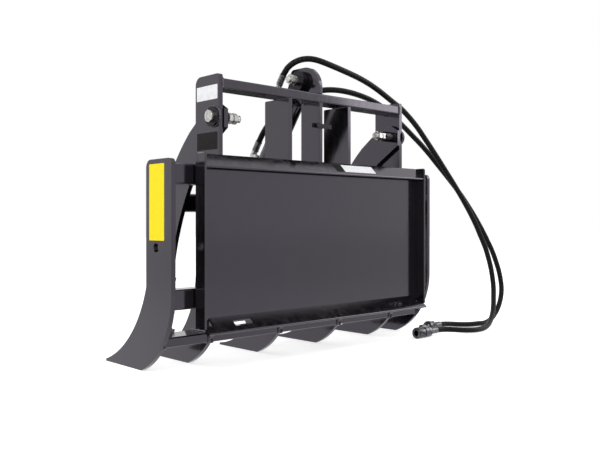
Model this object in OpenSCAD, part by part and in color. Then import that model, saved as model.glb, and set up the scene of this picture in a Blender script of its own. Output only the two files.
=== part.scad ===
// Brush grapple for a mini loader: six fixed lower tines on a tube frame, an upper claw
// that turns on two pins, and one double-acting cylinder that opens and closes it.
// +X right, +Y forward along the tines, +Z up. Origin on the ground, in the middle of the
// steelwork. Lengths in millimetres.

/* [Frame] */
// Width over the outer tines
frame_w = 1018; // [980:2:1100]
// Width over the two uprights
upright_w = 730.6; // [700:0.2:760]
// Distance from the middle to an inner tine
inner_x = 118.8; // [100:0.2:140]
// Thickness of tines, uprights and tower
tine_th = 12.7; // [10:0.1:14]
// Depth of the uprights and inner tines
tine_depth = 101.6; // [96:0.2:108]
// Depth of the outer tines
outer_depth = 114.6; // [108:0.2:122]
// Height of the outer tines
outer_top = 534; // [534:1:580]
// Height of the uprights
upright_top = 757; // [755:1:780]
// Reach of the tine tips from the mounting face
tip_y = 324; // [300:1:345]
// Height of the blunt nose on each tine tip
nose_h = 6; // [3:0.5:9]
// Radius of the heel under each tine
heel_r = 220; // [205:1:230]
// Height at which the heel curve starts
heel_z = 204; // [198:1:212]
// Radius of the scooped front of the outer tines
scoop_r = 317; // [300:1:330]
// Radius of the scooped front of the uprights and inner tines
inner_scoop_r = 246; // [235:1:260]
// Diameter of the tie-down hole in each outer tine
tie_hole_d = 24; // [12:1:34]

/* [Cross tubes] */
// Height of the two square cross tubes
tube_h = 50.8; // [44:0.2:60]
// Depth of the two square cross tubes
tube_d = 50.8; // [44:0.2:54]
// Wall of the square cross tubes
tube_wall = 4.8; // [3:0.1:6]
// Height of the middle cross tube above the ground
middle_tube_z = 162; // [142:1:168]
// Height of the top cross tube above the ground
top_tube_z = 471; // [455:1:478]
// Height of the flat tubes: the top rail and the bottom tube
flat_h = 25.4; // [22:0.2:28]
// Depth of the top rail
rail_d = 63.5; // [55:0.5:66]
// Underside of the top rail
rail_z = 721; // [719:1:726]
// Depth of the bottom tube
sill_d = 76.2; // [66:0.2:84]
// Underside of the bottom tube
sill_z = 66; // [63:1:72]
// Wall of the flat tubes
flat_wall = 4; // [2.5:0.1:5]

/* [Mounting plate] */
// Inside width of the mounting plate
plate_w = 860; // [820:1:900]
// Thickness of the mounting plate
plate_t = 6.35; // [5:0.05:8]
// Thickness of the latch ledge, a little less than the plate
ledge_t = 6; // [5:0.1:6.2]
// Height of the top of the plate
plate_top = 549; // [540:1:560]
// Height of the bottom of the plate
plate_bottom = 113; // [106:1:122]
// How far the hook lip reaches to the rear
lip_reach = 31; // [24:1:34]
// How far the hook lip drops
lip_drop = 34; // [26:1:40]
// How far the latch ledge reaches to the rear
ledge_reach = 40; // [32:1:46]
// How far the latch ledge drops
ledge_drop = 33; // [26:1:38]
// Height of the bend where the ledge starts
ledge_z = 136; // [130:1:146]
// Thickness of the side plates
side_t = 6.5; // [5:0.5:12]
// Depth of the side plates behind the plate
side_d = 32.5; // [32:0.1:39]
// Length of each latch slot
slot_l = 63.5; // [50:0.5:80]
// Width of each latch slot
slot_w = 19; // [14:0.5:22]
// Distance from the middle to a latch slot
slot_x = 305; // [270:1:330]

/* [Tower] */
// Depth of the tower plate below the rail
tower_depth = 77; // [74:0.5:88]
// Height of the tower head
head_top = 830; // [828:1:840]
// Rounding of the rear of the tower head
head_r = 66; // [50:1:70]
// Reach of the tower head from the mounting face
head_front = 130; // [126:1:134]
// Distance of the cylinder pin from the mounting face
head_pin_y = 82; // [80:0.5:84]
// Height of the cylinder pin
head_pin_z = 791; // [789:0.5:793]

/* [Claw] */
// Distance of the claw pivot from the mounting face
pivot_y = 28; // [26:0.5:30]
// Height of the claw pivot
pivot_z = 648; // [645:0.5:652]
// Diameter of the pivot pins, the cylinder pin and their bores
pin_d = 25.4; // [22:0.2:27]
// Length of the sleeve on the left pivot pin
left_sleeve_l = 14; // [8:1:40]
// Length of the sleeve on the right pivot pin
right_sleeve_l = 40; // [20:1:60]
// Thickness of the claw arms and claw tines
claw_th = 12.7; // [10:0.1:13.5]
// Distance from the middle to a claw tine
claw_tine_x = 42; // [41:0.2:48]
// Depth and height of the claw tube
claw_tube = 50.8; // [46:0.2:54]
// Depth of the saw teeth
tooth_h = 15; // [8:0.5:18]
// Distance from one saw tooth to the next
tooth_pitch = 48; // [40:1:48]
// Number of saw teeth on an arm
teeth = 4; // [1:1:4]
// Reach of the cylinder lug forward of the pivot
lug_y = 329.3; // [326:0.5:332]
// Drop of the cylinder lug below the pivot
lug_drop = 250.2; // [247:0.5:254]
// Radius of the cylinder lug
lug_r = 27.5; // [26:0.5:30]
// Diameter of the pin through the cylinder lugs
rod_pin_d = 19; // [16:0.2:20]

/* [Cylinder] */
// Outside diameter of the barrel
barrel_d = 63.5; // [58:0.5:64]
// Bore of the barrel
bore_d = 50.8; // [46:0.2:52]
// Diameter of the rod
rod_d = 31.75; // [25:0.25:34]
// Distance from the cylinder pin to the welded cap of the barrel
cap_s = 54; // [53:0.5:56]
// Distance from the cylinder pin to the open end of the barrel
barrel_end_s = 316; // [312:1:318]
// Length of the gland inside the barrel
gland_l = 46; // [36:1:52]
// Length of the piston
piston_l = 38; // [30:1:44]
// Free end of the piston nut, from the cylinder pin
piston_s = 206; // [200:1:212]
// Width of the rod eye
eye_w = 50; // [44:1:56]
// Outside diameter of the rod eye
eye_d = 50.8; // [50:0.2:54]
// Diameter of the hole in the rod eye
eye_hole_d = 38; // [37:0.5:40]
// Thickness of each clevis ear
ear_t = 17; // [14:0.5:18]
// Radius of the clevis ears
ear_r = 29; // [27:0.5:31]
// Distance from the cylinder pin to the rear port
rear_port_s = 78; // [74:1:84]
// Distance from the cylinder pin to the front port
front_port_s = 294; // [286:1:296]
// Distance from the barrel axis to a hose
hose_off = 66; // [62:0.5:70]

/* [Hoses] */
// Outside diameter of the hoses
hose_d = 18; // [14:0.5:20]
// Diameter of the crimped hose ferrules
ferrule_d = 21; // [20.5:0.5:25]
// Length of the crimped hose ferrules
ferrule_l = 34; // [26:1:36]
// Length of the quick couplers
coupler_l = 64; // [54:1:72]
// Diameter of the quick couplers
coupler_d = 36; // [30:0.5:36]
// Diameter of the probe on the male coupler
probe_d = 18; // [14:0.2:20]

/* [Hidden] */
$fn = 72;

// Clearances
weld_gap = 0.2; // between a welded plate and what passes through it
run_gap = 0.05; // radial, between a pin and its bush
side_gap = 0.4; // along a pin, between parts that turn on each other
hose_gap = 0.3; // between a ferrule and the hose drawn from it

// Colours
PAINT = "#3b393d";
DARK = "#1d1c1e";
ZINC = "#c9c8c4";
CHROME = "#dcdde0";
RUBBER = "#151416";
BRASS = "#b08d48";

// Frame
outer_back = 4;
tine_back = plate_t;
upright_in = upright_w / 2 - tine_th;
tube_back = 12;
tube_corner = 5;
flat_corner = 4;
sill_back = 50;
rail_back = tine_back + 0.65;
outer_scoop_y = tip_y + 97.7;
tie_hole_z = 314;

// Pins
pin_r = pin_d / 2;
bush_wall = 3.3;
bush_r = pin_r + bush_wall;
boss_r = 26;
boss_t = 9;
pin_head_r = 15.5;
pin_head_t = 9;
stud_r = 9;
nut_af = 26;
nut_t = 13;

// Claw
arm_out = upright_in - 1.25;
arm_in = arm_out - claw_th;
claw_inner_y = pivot_y + 233; // furthest reach of the claw's inner edge
claw_arc_r = 698;
claw_arc = [claw_inner_y - claw_arc_r, pivot_z - 538];
claw_back_y = pivot_y + 301.8; // furthest reach of the claw's back
back_arc_r = 525;
back_arc = [claw_back_y - back_arc_r, pivot_z - 419];
tip_arc_r = 160.4;
tip_arc = [pivot_y + 137, pivot_z - 488];
claw_tip_z = pivot_z - 622;
claw_tube_y = pivot_y + 177;
claw_tube_z = pivot_z - 243;
first_tooth_z = pivot_z - 426;
claw_neck_z = pivot_z - 168;
lug = [pivot_y + lug_y, pivot_z - lug_drop];

// Cylinder, laid out along the line from the cylinder pin to the rod pin
head_pin = [head_pin_y, head_pin_z];
cyl_l = norm(lug - head_pin);
cyl_a = atan2(lug[1] - head_pin[1], lug[0] - head_pin[0]);
ear_gap = 1.65;
ear_in = tine_th / 2 + ear_gap;
ear_out = ear_in + ear_t;
barrel_r = barrel_d / 2;
rear_turn = 25;
front_turn = 6;
elbow_r = 10;
ferrule_neck = 12;
rear_exit_s = rear_port_s - 20 - ferrule_neck - ferrule_l;
front_exit_s = front_port_s - 4 - ferrule_neck - ferrule_l;

// Overall depth, which places the origin
front_y = max(tip_y, lug[0] + lug_r);
back_y = -ledge_reach - plate_t / 2;
shift_y = -(front_y + back_y) / 2;

// Hose routes, from the barrel to the couplers
function on_cyl(s, h, x) = [
    x,
    head_pin[0] + s * cos(cyl_a) - h * sin(cyl_a),
    head_pin[1] + s * sin(cyl_a) + h * cos(cyl_a)
];
upper_exit = on_cyl(
    rear_exit_s - hose_gap, hose_off * cos(rear_turn), -hose_off * sin(rear_turn)
);
lower_exit = on_cyl(
    front_exit_s - hose_gap, hose_off * cos(front_turn), -hose_off * sin(front_turn)
);
UPPER_LEAD = [
    upper_exit, [-22, 124.5, 835.5], [-10.5, 109.5, 850], [4, 96, 858.5], [21.5, 84.5, 862],
    [40, 76, 861.5], [60, 70.5, 858.5], [84, 67, 854], [108, 65, 849.5], [132, 63.5, 845],
    [156, 62.5, 840.5], [178, 62, 836.5], [225, 62.5, 827.5], [276, 65, 815.5],
];
UPPER_TAIL = [
    [276, 65, 815.5], [320, 66, 801], [359, 67, 786], [395, 66, 770], [431, 62, 752],
    [468, 58, 727], [505, 54, 697], [541, 50, 662], [574, 45, 627], [606, 40, 592],
    [638, 35, 556], [669, 30, 521], [700, 25, 485], [732, 20, 446], [763, 15, 405],
    [794, 11, 361], [822, 8, 316], [845, 6, 279], [862, 4, 241], [875, 2, 203],
    [882, 0, 168], [882, -4, 134], [873, -10, 102], [855, -21, 72], [827, -35, 46],
    [790, -50, 26], [748, -65, 14], [703, -76, 9.5], [655, -79, 9.5], [612, -69, 11.5],
    [574, -50, 15], [541, -33, 17.5], [505, -25, 18],
];
LOWER_LEAD = [
    lower_exit, [-5, 261, 651], [-1, 243.5, 674], [5.5, 223.5, 696], [14.5, 202, 715.5],
    [26.5, 180.5, 732.5], [41.5, 160.5, 748], [60, 143, 762], [82, 129.5, 773.5],
    [107, 119.5, 781.5], [134, 112.5, 786.5], [168, 107, 789], [208, 104.5, 789],
    [250, 104.5, 786.5], [298, 107, 781.5],
];
LOWER_TAIL = [
    [298, 107, 781.5], [341, 111, 775], [386, 114, 763.5], [430, 116, 746], [472, 115, 724],
    [512, 113, 701], [551, 109, 675], [590, 103, 647], [627, 96, 616], [660, 89, 585],
    [692, 81, 554], [724, 73, 522], [756, 65, 489], [786, 58, 456], [815, 51, 421],
    [842, 44, 385], [868, 37, 347], [892, 31, 310], [915, 25, 272], [933, 20, 233],
    [947, 15, 194], [954, 11, 158], [954, 7, 124], [944, 4, 92], [925, 1, 63],
    [899, -1, 38], [866, -3, 19], [828, -3, 9.5], [788, 1, 9.5], [748, 11, 9.5],
    [711, 25, 11.5], [680, 37, 14.5], [650, 44, 17], [618, 45, 18],
];
socket_turn = 180; // each coupler points away from its hose
plug_turn = 180;
socket_at = UPPER_TAIL[len(UPPER_TAIL) - 1];
plug_at = LOWER_TAIL[len(LOWER_TAIL) - 1];

// Shared shapes

// Puts a piece in the object's frame
module place() {
    translate([0, shift_y, 0]) children();
}

// A plate of thickness th that stands in the YZ plane, from x to the right
module plate_yz(x, th) {
    translate([x, 0, 0]) rotate([90, 0, 90]) linear_extrude(th) children();
}

// A flat outline in the YZ plane, run along X between two ends
module run_x(x0, x1) {
    plate_yz(x0, x1 - x0) children();
}

module rod_x(x0, x1, r, at) {
    translate([x0, at[0], at[1]]) rotate([0, 90, 0]) cylinder(r = r, h = x1 - x0);
}

// Takes the corner at [y, z] off to radius r; sy and sz point into the plate
module round_off(y, z, r, sy, sz) {
    translate([y, z]) difference() {
        translate([sy > 0 ? -1 : -r, sz > 0 ? -1 : -r]) square(r + 1);
        translate([sy * r, sz * r]) circle(r);
    }
}

module round_rect(w, h, r) {
    translate([r, 0]) square([w - 2 * r, h]);
    translate([0, r]) square([w, h - 2 * r]);
    for (y = [r, w - r], z = [r, h - r]) translate([y, z]) circle(r);
}

module tube_outline(y, z, d, h, r, grow = 0) {
    translate([y - grow, z - grow]) round_rect(d + 2 * grow, h + 2 * grow, r + grow);
}

module tube_wall_outline(y, z, d, h, r, wall) {
    difference() {
        tube_outline(y, z, d, h, r);
        tube_outline(y, z, d, h, r, -wall);
    }
}

// A straight strip between two points, with round ends
module strip(a, b, t) {
    v = b - a;
    translate(a) rotate(atan2(v[1], v[0])) translate([0, -t / 2]) square([norm(v), t]);
    for (p = [a, b]) translate(p) circle(t / 2);
}

// The point where a line from a touches a circle round c
function touch(a, c, r, side) =
    let (v = a - c, t = atan2(v[1], v[0]) + side * acos(r / norm(v)))
    c + r * [cos(t), sin(t)];

// A hexagon nut on a stud along X
module nut_x(x, at) {
    translate([x, at[0], at[1]]) rotate([0, 90, 0]) difference() {
        intersection() {
            cylinder(r = nut_af / sqrt(3), h = nut_t, $fn = 6);
            cylinder(r1 = nut_af / 2 + 0.9, r2 = nut_af / 2 + 0.9 + nut_t, h = nut_t);
            cylinder(r1 = nut_af / 2 + 0.9 + nut_t, r2 = nut_af / 2 + 0.9, h = nut_t);
        }
        translate([0, 0, -1]) cylinder(r = stud_r + run_gap, h = nut_t + 2);
    }
}

module ring_x(x0, x1, r_out, r_in, at) {
    difference() {
        rod_x(x0, x1, r_out, at);
        rod_x(x0 - 1, x1 + 1, r_in, at);
    }
}

// Frame

// Outline of a tine: a straight back, a round heel, a flat sole and a scooped front
module tine_outline(back, depth, top, front_r, rear_r, scoop_y, r) {
    front = back + depth;
    scoop_z = nose_h + sqrt(pow(r, 2) - pow(scoop_y - tip_y, 2));
    difference() {
        translate([back, 0]) square([tip_y - back, top]);
        intersection() {
            translate([scoop_y, scoop_z]) circle(r, $fn = 180);
            translate([front, 0]) square([2 * r, scoop_z]);
        }
        translate([front, scoop_z]) square([tip_y, top]);
        difference() {
            translate([back - 1, -1]) square([heel_r + 1, heel_z + 1]);
            translate([back + heel_r, heel_z]) circle(heel_r, $fn = 180);
        }
        round_off(back, top, rear_r, 1, -1);
        round_off(front, top, front_r, -1, -1);
    }
}

module tube_cuts() {
    tube_outline(tube_back, middle_tube_z, tube_d, tube_h, tube_corner, weld_gap);
    tube_outline(tube_back, top_tube_z, tube_d, tube_h, tube_corner, weld_gap);
    tube_outline(sill_back, sill_z, sill_d, flat_h, flat_corner, weld_gap);
}

module outer_tine(x) {
    color(PAINT) place() plate_yz(x, tine_th) difference() {
        tine_outline(outer_back, outer_depth, outer_top, 20, 15, outer_scoop_y, scoop_r);
        translate([pivot_y + 44, tie_hole_z]) circle(tie_hole_d / 2);
    }
}

module outer_tine_left() { outer_tine(-frame_w / 2); }

module outer_tine_right() { outer_tine(frame_w / 2 - tine_th); }

// The scoop of an upright or an inner tine starts flush with its straight front
module scooped_tine(top, front_r, rear_r) {
    tine_outline(
        tine_back, tine_depth, top, front_r, rear_r,
        tine_back + tine_depth + inner_scoop_r, inner_scoop_r
    );
}

module upright(x) {
    color(PAINT) place() plate_yz(x, tine_th) difference() {
        scooped_tine(upright_top, 22, 6);
        tube_cuts();
        translate([pivot_y, pivot_z]) circle(pin_r + run_gap);
    }
}

module upright_left() { upright(-upright_w / 2); }

module upright_right() { upright(upright_in); }

module inner_tine(x) {
    color(PAINT) place() plate_yz(x - tine_th / 2, tine_th) difference() {
        scooped_tine(rail_z, 4, 2);
        tube_cuts();
    }
}

module inner_tine_left() { inner_tine(-inner_x); }

module inner_tine_right() { inner_tine(inner_x); }

// The tower carries the cylinder pin; its neck is notched round the rail
module tower_outline() {
    front = tine_back + tower_depth;
    foot = top_tube_z - 26;
    difference() {
        union() {
            translate([tine_back, foot]) square([tower_depth, head_pin_z - foot]);
            translate([tine_back, rail_z]) square([head_front - tine_back, head_top - rail_z]);
        }
        difference() {
            translate([front, rail_z - 1]) square([head_front, head_pin_z - rail_z + 1]);
            translate(head_pin) circle(cap_s - 4);
        }
        translate([front, foot - 1]) square([head_front, rail_z - foot + 1]);
        round_off(tine_back, head_top, head_r, 1, -1);
        round_off(head_front, head_top, 14, -1, -1);
        round_off(tine_back, foot, 12, 1, 1);
        round_off(front, foot, 12, -1, 1);
        translate([-1, rail_z]) square([rail_back + rail_d + weld_gap + 1, flat_h + weld_gap]);
        tube_outline(tube_back, top_tube_z, tube_d, tube_h, tube_corner, weld_gap);
        translate(head_pin) circle(bush_r);
    }
}

module cylinder_tower() {
    color(PAINT) place() plate_yz(-tine_th / 2, tine_th) tower_outline();
}

module top_rail() {
    color(PAINT) place() run_x(-upright_in, upright_in)
        tube_wall_outline(rail_back, rail_z, rail_d, flat_h, flat_corner, flat_wall);
}

module cross_tube(z) {
    end = frame_w / 2 - tine_th;
    color(PAINT) place() run_x(-end, end)
        tube_wall_outline(tube_back, z, tube_d, tube_h, tube_corner, tube_wall);
}

module cross_tube_top() { cross_tube(top_tube_z); }

module cross_tube_middle() { cross_tube(middle_tube_z); }

module bottom_tube() {
    end = frame_w / 2 - tine_th;
    color(PAINT) place() run_x(-end, end)
        tube_wall_outline(sill_back, sill_z, sill_d, flat_h, flat_corner, flat_wall);
}

// Mounting plate: one sheet, bent to the rear into a hook lip above and a latch ledge below
mid_y = plate_t / 2;
lip_bend = [mid_y, plate_top - plate_t / 2];
lip_edge = [-lip_reach + mid_y, plate_top - lip_drop];
ledge_bend = [mid_y, ledge_z];
ledge_edge = [-ledge_reach, ledge_z - ledge_drop];
relief_w = 30;
relief_d = 22;

module ledge_slot(x) {
    a = atan2(ledge_bend[1] - ledge_edge[1], ledge_bend[0] - ledge_edge[0]);
    middle = (ledge_bend + ledge_edge) / 2;
    translate([x, middle[0] - 2, middle[1]]) rotate([a, 0, 0])
        translate([-slot_l / 2, -slot_w / 2, -plate_t]) cube([slot_l, slot_w, 2 * plate_t]);
}

module mounting_plate() {
    half = plate_w / 2;
    wide = half + side_t;
    color(PAINT) place() difference() {
        union() {
            run_x(-wide, wide) union() {
                translate([0, plate_bottom]) square([plate_t, lip_bend[1] - plate_bottom]);
                translate(lip_bend) circle(plate_t / 2);
            }
            run_x(-half, half) strip(lip_bend, lip_edge, plate_t);
            run_x(-half, half) strip(ledge_bend, ledge_edge, ledge_t);
        }
        for (s = [-1, 1]) {
            translate([s > 0 ? half - relief_w : -half - 1, -relief_d, plate_bottom - 10])
                cube([relief_w + 1, relief_d, ledge_z + plate_t - plate_bottom + 10]);
            ledge_slot(s * slot_x);
        }
        translate([-half + relief_w, 0, plate_bottom - 1])
            cube([plate_w - 2 * relief_w, plate_t + 1, ledge_z - plate_t - plate_bottom]);
    }
}

// The side plates stand on the rear of the mounting plate, beside the lip and the ledge
module side_plate(x) {
    color(PAINT) place() plate_yz(x, side_t) difference() {
        translate([-side_d, plate_bottom]) square([side_d, plate_top - plate_bottom]);
        round_off(-side_d, plate_top, 5, 1, -1);
        round_off(-side_d, plate_bottom, 3, 1, 1);
        round_off(0, plate_bottom, 14, -1, 1);
    }
}

module side_plate_left() { side_plate(-plate_w / 2 - side_t); }

module side_plate_right() { side_plate(plate_w / 2); }

// Claw pivots: a pin through boss, upright and claw arm, held by two nuts inside
pivot = [pivot_y, pivot_z];
boss_x = upright_w / 2;
sleeve_out = arm_in - side_gap;

// The left sleeve is short, the right one long
function sleeve_in(s) = sleeve_out - (s > 0 ? right_sleeve_l : left_sleeve_l);

function stud_in(s) = sleeve_in(s) - 2 * nut_t - 16;

module mirrored(s) {
    if (s > 0) children();
    else mirror([1, 0, 0]) children();
}

module pivot_boss(s) {
    color(PAINT) place() mirrored(s)
        ring_x(boss_x, boss_x + boss_t, boss_r, pin_r + run_gap, pivot);
}

module pivot_boss_left() { pivot_boss(-1); }

module pivot_boss_right() { pivot_boss(1); }

module pivot_pin(s) {
    head = boss_x + boss_t;
    color(ZINC) place() mirrored(s) {
        rod_x(head, head + pin_head_t, pin_head_r, pivot);
        rod_x(sleeve_in(s), head, pin_r, pivot);
        rod_x(stud_in(s), sleeve_in(s), stud_r, pivot);
    }
}

module pivot_pin_left() { pivot_pin(-1); }

module pivot_pin_right() { pivot_pin(1); }

module pivot_sleeve(s) {
    color(DARK) place() mirrored(s)
        ring_x(sleeve_in(s), sleeve_out, bush_r, pin_r + run_gap, pivot);
}

module pivot_sleeve_left() { pivot_sleeve(-1); }

module pivot_sleeve_right() { pivot_sleeve(1); }

module pivot_nuts() {
    color(ZINC) place() for (s = [-1, 1]) mirrored(s) {
        nut_x(sleeve_in(s) - nut_t, pivot);
        nut_x(sleeve_in(s) - 2 * nut_t - 4, pivot);
    }
}

module tower_bush() {
    color(BRASS) place() ring_x(-tine_th / 2, tine_th / 2, bush_r, pin_r + run_gap, head_pin);
}

// Cylinder pin: its head is on the right, its nuts are on the left
pin_end = ear_out + side_gap;
pin_stud_end = pin_end + 2 * nut_t + 10;

module cylinder_pin() {
    color(ZINC) place() {
        rod_x(pin_end, pin_end + pin_head_t, pin_head_r, head_pin);
        rod_x(-pin_end, pin_end, pin_r, head_pin);
        rod_x(-pin_stud_end, -pin_end, stud_r, head_pin);
    }
}

module cylinder_pin_nuts() {
    color(ZINC) place() {
        nut_x(-pin_end - nut_t, head_pin);
        nut_x(-pin_end - 2 * nut_t - 4, head_pin);
    }
}

guide_y = tine_back - 5;
guide_z = pivot_z - 2;

module hose_guide() {
    color(DARK) place() difference() {
        translate([-36, guide_y, guide_z]) cube([74, 5, 13]);
        translate([-20, guide_y - 1, guide_z + 6.5]) rotate([-90, 0, 0])
            cylinder(r = 4.2, h = 7);
    }
}

module hose_guide_bolt() {
    color(DARK) place() translate([-20, guide_y, guide_z + 6.5]) {
        rotate([90, 0, 0]) cylinder(r = 9, h = 7, $fn = 6);
        rotate([-90, 0, 0]) cylinder(r = 4, h = 12);
    }
}

// Claw

// Depth of the inner edge of the claw at height z
function inner_edge(z) = claw_arc[0] + sqrt(pow(claw_arc_r, 2) - pow(z - claw_arc[1], 2));

// The curved blade below height top, with saw teeth along its inner edge
module blade_outline(top) {
    difference() {
        intersection() {
            translate(back_arc) circle(back_arc_r, $fn = 240);
            union() {
                translate([pivot_y, tip_arc[1]]) square([back_arc_r, top - tip_arc[1]]);
                translate(tip_arc) circle(tip_arc_r, $fn = 120);
            }
            translate([pivot_y, claw_tip_z]) square([back_arc_r, top - claw_tip_z]);
        }
        translate(claw_arc) circle(claw_arc_r, $fn = 240);
    }
    for (k = [0 : teeth - 1]) saw_tooth(first_tooth_z - k * tooth_pitch);
}

module saw_tooth(z) {
    root = [inner_edge(z), z];
    next_z = z - tooth_pitch + 1;
    next = [inner_edge(next_z) + 2, next_z];
    polygon([root + [8, 0], root - [tooth_h, 1], next, next + [6, 0]]);
}

// The head of a claw arm, round its pivot
module arm_head_outline() {
    polygon([
        for (p = [[-26, -28], [-26, 20], [2, 37], [85, 4], [130, -30], [160, -66],
            [136, -167], [56.5, -82]]) pivot + p
    ]);
}

module claw_tube_cut(grow) {
    tube_outline(claw_tube_y, claw_tube_z, claw_tube, claw_tube, 7, grow);
}

module claw_arm(s) {
    color(PAINT) place() mirrored(s) difference() {
        union() {
            plate_yz(arm_in, claw_th) blade_outline(pivot_z - 34);
            plate_yz(arm_in, claw_th) arm_head_outline();
        }
        rod_x(arm_in - 1, arm_out + 1, bush_r, pivot);
    }
}

module claw_arm_left() { claw_arm(-1); }

module claw_arm_right() { claw_arm(1); }

module claw_bush(s) {
    color(BRASS) place() mirrored(s)
        ring_x(arm_in, arm_out, bush_r, pin_r + run_gap, pivot);
}

module claw_bush_left() { claw_bush(-1); }

module claw_bush_right() { claw_bush(1); }

// The lug for the rod pin, on the back of a claw tine
module lug_outline() {
    shoulder = [pivot_y + 230, claw_neck_z - 5];
    heel = [pivot_y + 280, pivot_z - 352];
    polygon([
        shoulder, touch(shoulder, lug, lug_r - 0.02, -1), lug,
        touch(heel, lug, lug_r - 0.02, 1), heel
    ]);
}

module claw_tine(s) {
    color(PAINT) place() mirrored(s) difference() {
        union() {
            plate_yz(lug_in, claw_th) blade_outline(claw_neck_z);
            plate_yz(lug_in, claw_th) lug_outline();
            rod_x(lug_in, lug_out, lug_r, lug);
        }
        rod_x(lug_in - 1, lug_out + 1, rod_pin_d / 2 + run_gap, lug);
        run_x(lug_in - 1, lug_out + 1) claw_tube_cut(weld_gap);
    }
}

module claw_tine_left() { claw_tine(-1); }

module claw_tine_right() { claw_tine(1); }

module claw_tube() {
    color(PAINT) place() run_x(-arm_in, arm_in) difference() {
        claw_tube_cut(0);
        claw_tube_cut(-tube_wall);
    }
}

// Rod pin, carried by the two claw tines
lug_out = claw_tine_x + claw_th / 2;
lug_in = claw_tine_x - claw_th / 2;
rod_pin_end = lug_out + side_gap;

module rod_pin() {
    color(ZINC) place() {
        rod_x(rod_pin_end, rod_pin_end + 7, pin_head_r - 2, lug);
        rod_x(-rod_pin_end, rod_pin_end, rod_pin_d / 2, lug);
        rod_x(-rod_pin_end - 2 * nut_t - 8, -rod_pin_end, stud_r - 1, lug);
    }
}

module rod_pin_nuts() {
    color(ZINC) place() for (k = [0, 1])
        difference() {
            rod_x(-rod_pin_end - (k + 1) * nut_t - 3 * k, -rod_pin_end - k * (nut_t + 3), 12.5, lug);
            rod_x(-rod_pin_end - 3 * nut_t, -rod_pin_end + 1, stud_r - 1 + run_gap, lug);
        }
}

// The spacers fill the lug gap beside the rod eye
module rod_pin_spacers() {
    color(DARK) place() for (s = [-1, 1]) mirrored(s)
        ring_x(eye_w / 2 + side_gap, lug_in, 23.5, rod_pin_d / 2 + run_gap, lug);
}

// Cylinder

// Turns a piece drawn along +X from the cylinder pin onto the cylinder's axis
module along_cyl() {
    translate([0, head_pin[0], head_pin[1]]) rotate([cyl_a, 0, 0]) rotate([0, 0, 90]) children();
}

module bar(s0, s1, r) {
    translate([s0, 0, 0]) rotate([0, 90, 0]) cylinder(r = r, h = s1 - s0);
}

module pipe(s0, s1, r_out, r_in) {
    difference() {
        bar(s0, s1, r_out);
        bar(s0 - 1, s1 + 1, r_in);
    }
}

cap_t = 14;

module barrel() {
    color(PAINT) place() along_cyl() difference() {
        pipe(cap_s + cap_t, barrel_end_s, barrel_r, bore_d / 2);
        for (s = [rear_port_s, front_port_s]) port_axis(s) cylinder(r = 5, h = barrel_r + 5);
    }
}

// A port leaves the barrel square to its axis, turned a little to the left
module port_axis(s) {
    turn = s < (rear_port_s + front_port_s) / 2 ? rear_turn : front_turn;
    translate([s, 0, 0]) rotate([-turn, 0, 0]) children();
}

// Each clevis ear narrows from its round end to the cap of the barrel
module ear_outline() {
    root = [cap_s, sqrt(pow(barrel_r, 2) - pow(ear_out, 2)) - 0.5];
    circle(ear_r);
    polygon([
        [0, 0], touch(root, [0, 0], ear_r, 1), root,
        [root[0], -root[1]], touch([root[0], -root[1]], [0, 0], ear_r, -1)
    ]);
}

module barrel_clevis() {
    color(DARK) place() along_cyl() difference() {
        union() {
            bar(cap_s, cap_s + cap_t, barrel_r);
            for (y = [-ear_in, ear_out]) translate([0, y, 0])
                rotate([90, 0, 0]) linear_extrude(ear_t) ear_outline();
        }
        rotate([90, 0, 0]) cylinder(r = pin_r + run_gap, h = 4 * ear_out, center = true);
    }
}

module cylinder_gland() {
    collar = 6;
    color(DARK) place() along_cyl() difference() {
        union() {
            bar(barrel_end_s - gland_l, barrel_end_s, bore_d / 2 - run_gap);
            bar(barrel_end_s, barrel_end_s + collar, barrel_r + 1);
        }
        bar(0, cyl_l, rod_d / 2 + run_gap);
        bar(barrel_end_s, barrel_end_s + collar + 1, rod_d / 2 + 4);
        port_axis(front_port_s) cylinder(r = 5, h = barrel_r + 5);
        for (a = [0 : 60 : 300]) rotate([a + 30, 0, 0])
            translate([barrel_end_s + 2, 0, barrel_r - 3]) cylinder(r = 3, h = 6);
    }
}

module rod_wiper() {
    color(RUBBER) place() along_cyl()
        pipe(barrel_end_s, barrel_end_s + 5, rod_d / 2 + 4 - run_gap, rod_d / 2 + run_gap);
}

module port_bosses() {
    color(PAINT) place() along_cyl() for (s = [rear_port_s, front_port_s])
        port_axis(s) difference() {
            cylinder(r = 13, h = barrel_r + 9);
            translate([0, 0, -1]) cylinder(r = 7, h = barrel_r + 12);
            rotate([0, 90, 0]) cylinder(r = barrel_r, h = 40, center = true);
        }
}

// Each elbow stands in its port and turns back along the barrel
module swivel_elbow(s, back) {
    top = barrel_r + 9;
    port_axis(s) {
        difference() {
            translate([0, 0, top]) cylinder(r = 12, h = 8, $fn = 6);
            translate([0, 0, top - 1]) cylinder(r = 6, h = 10);
        }
        translate([0, 0, top + 8]) cylinder(r = elbow_r, h = hose_off - top - 8);
        translate([0, 0, hose_off]) sphere(r = elbow_r);
        translate([-back, 0, hose_off]) rotate([0, 90, 0]) cylinder(r = elbow_r, h = back);
    }
}

module swivel_elbows() {
    color(ZINC) place() along_cyl() {
        swivel_elbow(rear_port_s, 20 + ferrule_neck);
        swivel_elbow(front_port_s, 4 + ferrule_neck);
    }
}

module hose_ferrules() {
    color(ZINC) place() along_cyl() for (s = [rear_exit_s, front_exit_s]) port_axis(s)
        translate([0, 0, hose_off]) bar(0, ferrule_l, ferrule_d / 2);
}

// Rod side of the cylinder
rod_end_s = cyl_l - eye_d / 2;
nut_len = 14;
piston_back = piston_s + nut_len;
piston_front = piston_back + piston_l;

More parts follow.
